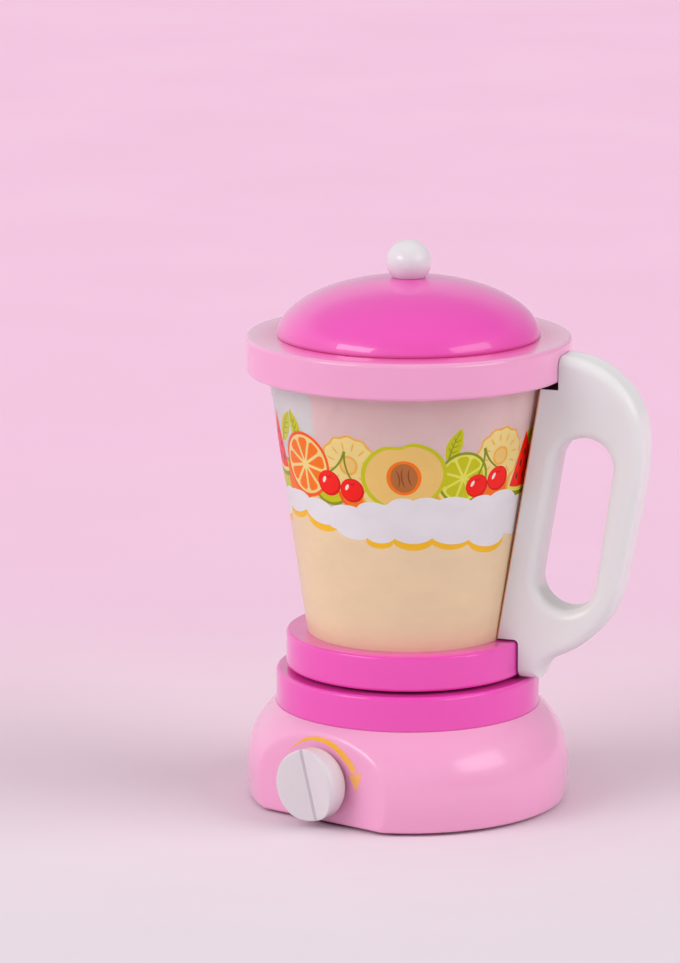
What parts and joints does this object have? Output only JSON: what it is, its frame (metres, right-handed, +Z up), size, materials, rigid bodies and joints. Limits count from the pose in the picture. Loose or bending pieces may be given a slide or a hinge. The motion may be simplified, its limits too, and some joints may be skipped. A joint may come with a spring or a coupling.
{
  "type": "toy blender",
  "caption": "Wooden toy blender: round base with a turning click knob, lift-off jug with a clear tapered wall and a side handle, and a domed lid with a ball on top.",
  "frame": {"origin": "centre of the base's underside, on the surface the toy stands on", "axes": "+Z up; +X towards the jug's handle; the control knob is on the -Y side, 19 degrees round towards -X"},
  "size_m": [0.1689, 0.138, 0.2336],
  "materials": {
    "pink_lacquer": "high-gloss lacquer, light pink",
    "magenta_lacquer": "high-gloss lacquer, magenta",
    "white_lacquer": "satin-gloss lacquer, white",
    "clear_sleeve": "clear, printed",
    "bare_wood": "bare, sanded",
    "felt": "pressed felt",
    "zinc_steel": "zinc plated",
    "nylon": "natural nylon"
  },
  "bodies": {
    "base": {"base_body": "pink_lacquer", "base_felt": "felt", "bottom_cover": "bare_wood", "cover_screws": "zinc_steel", "base_ring": "magenta_lacquer", "ring_screws": "zinc_steel", "seat_pad": "felt", "shaft_bush": "nylon", "click_spring": "zinc_steel", "spring_screws": "zinc_steel"},
    "knob": {"control_knob": "white_lacquer", "knob_shaft": "zinc_steel", "click_wheel": "nylon", "thrust_washer": "nylon", "end_washer": "zinc_steel", "shaft_screw": "zinc_steel"},
    "jug": {"jug_wall": "clear_sleeve", "jug_bottom": "magenta_lacquer", "jug_spigot": "bare_wood", "spigot_screws": "zinc_steel", "jug_collar": "pink_lacquer", "handle": "white_lacquer", "handle_dowels": "bare_wood"},
    "lid": {"lid_dome": "magenta_lacquer", "lid_plug": "bare_wood", "lid_screws": "zinc_steel", "lid_ball": "white_lacquer", "lid_dowel": "bare_wood"}
  },
  "joints": [
    {"name": "knob_turn", "type": "hinge", "parent": "base", "child": "knob", "pos_m": [-0.01953, -0.05673, 0.018], "axis": [-0.3256, -0.9455, 0], "continuous": true, "deforming": ["click_spring"]},
    {"name": "jug_lift", "type": "slide", "parent": "base", "child": "jug", "axis": [0, 0, 1], "range_m": [0, 0.06]},
    {"name": "lid_lift", "type": "slide", "parent": "jug", "child": "lid", "axis": [0, 0, 1], "range_m": [0, 0.05]}
  ]
}
